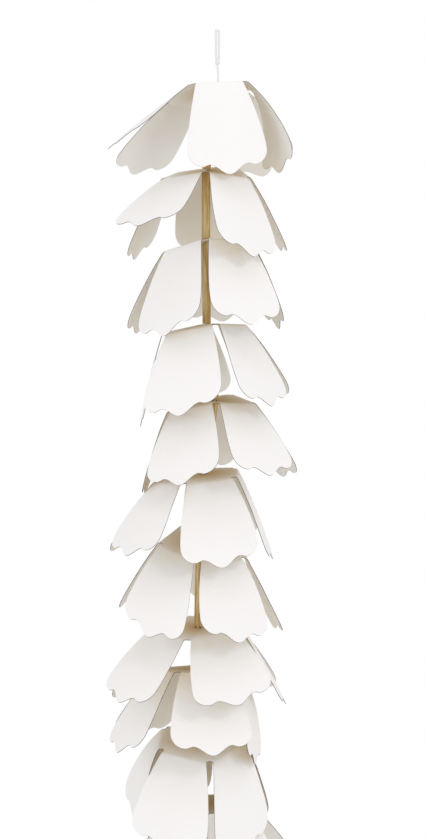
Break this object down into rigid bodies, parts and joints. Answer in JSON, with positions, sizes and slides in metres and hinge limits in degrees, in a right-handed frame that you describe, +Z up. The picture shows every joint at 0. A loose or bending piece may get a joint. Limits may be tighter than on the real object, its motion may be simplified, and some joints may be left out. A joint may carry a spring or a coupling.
{
  "type": "paper flower garland",
  "caption": "Hanging garland of folded white card flowers, each a hub with five lobed petals folded down, threaded in a column on a cotton string with short brown spacer tubes between them",
  "frame": {"origin": "top of the hanging loop, where it bears on a hook or a peg", "axes": "+Z is up along the hanging string, -Y faces the viewer of the picture, +X is the viewer's right"},
  "size_m": [0.135, 0.1469, 0.6081],
  "materials": {
    "white_card": "matt white card, slightly warm on the inner faces",
    "brown_tube": "natural reed straw, brown and streaked along its length",
    "white_cotton": "twisted white cotton string"
  },
  "bodies": {
    "root": {"flower_01": "white_card", "flower_02": "white_card", "flower_03": "white_card", "flower_04": "white_card", "flower_05": "white_card", "flower_06": "white_card", "flower_07": "white_card", "flower_08": "white_card", "flower_09": "white_card", "flower_10": "white_card", "flower_11": "white_card", "tube_01": "brown_tube", "tube_02": "brown_tube", "tube_03": "brown_tube", "tube_04": "brown_tube", "tube_05": "brown_tube", "tube_06": "brown_tube", "tube_07": "brown_tube", "tube_08": "brown_tube", "tube_09": "brown_tube", "tube_10": "brown_tube", "string": "white_cotton", "hanging_loop": "white_cotton", "loop_knot": "white_cotton", "end_knot": "white_cotton"}
  },
  "joints": []
}
